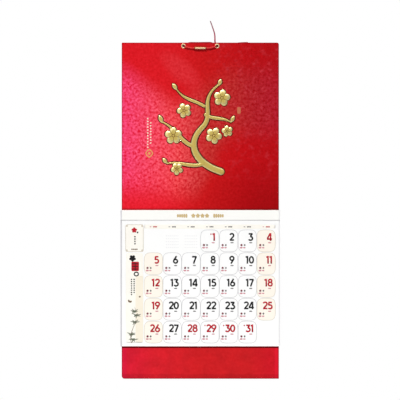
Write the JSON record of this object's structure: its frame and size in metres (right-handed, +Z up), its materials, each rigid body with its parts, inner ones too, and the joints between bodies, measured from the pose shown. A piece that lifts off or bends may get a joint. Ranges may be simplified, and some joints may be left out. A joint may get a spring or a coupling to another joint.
{
  "type": "wall calendar",
  "caption": "Long hanging wall calendar: a stiff covered board with a month pad under a folded header strip, hung by a cord through eyelets.",
  "frame": {"origin": "underside of the cord's back run, midway between the eyelets, where the nail carries the calendar", "axes": "+X to the right seen from the front, +Y towards the wall, +Z up; the front faces -Y"},
  "size_m": [0.355, 0.0179, 0.7981],
  "materials": {
    "red_board": "figured red paper with a soft sheen over stiff board",
    "leaf_paper": "coated printing paper",
    "header_card": "smooth ivory card",
    "staple_wire": "drawn steel wire",
    "gilt_metal": "polished gilt",
    "red_cord": "braided glossy cord"
  },
  "bodies": {
    "calendar": {"backing_board": "red_board", "calendar_pad": "leaf_paper", "header_strip": "header_card", "staples": "staple_wire", "eyelet_left": "gilt_metal", "eyelet_right": "gilt_metal", "hanging_cord": "red_cord", "cord_tail_up": "red_cord", "cord_tail_side": "red_cord", "cord_knot": "red_cord"},
    "tube": {"cord_tube": "gilt_metal"}
  },
  "joints": [
    {"name": "tube_slide", "type": "slide", "parent": "calendar", "child": "tube", "axis": [1, 0, 0], "range_m": [-0.006, 0.006]}
  ]
}
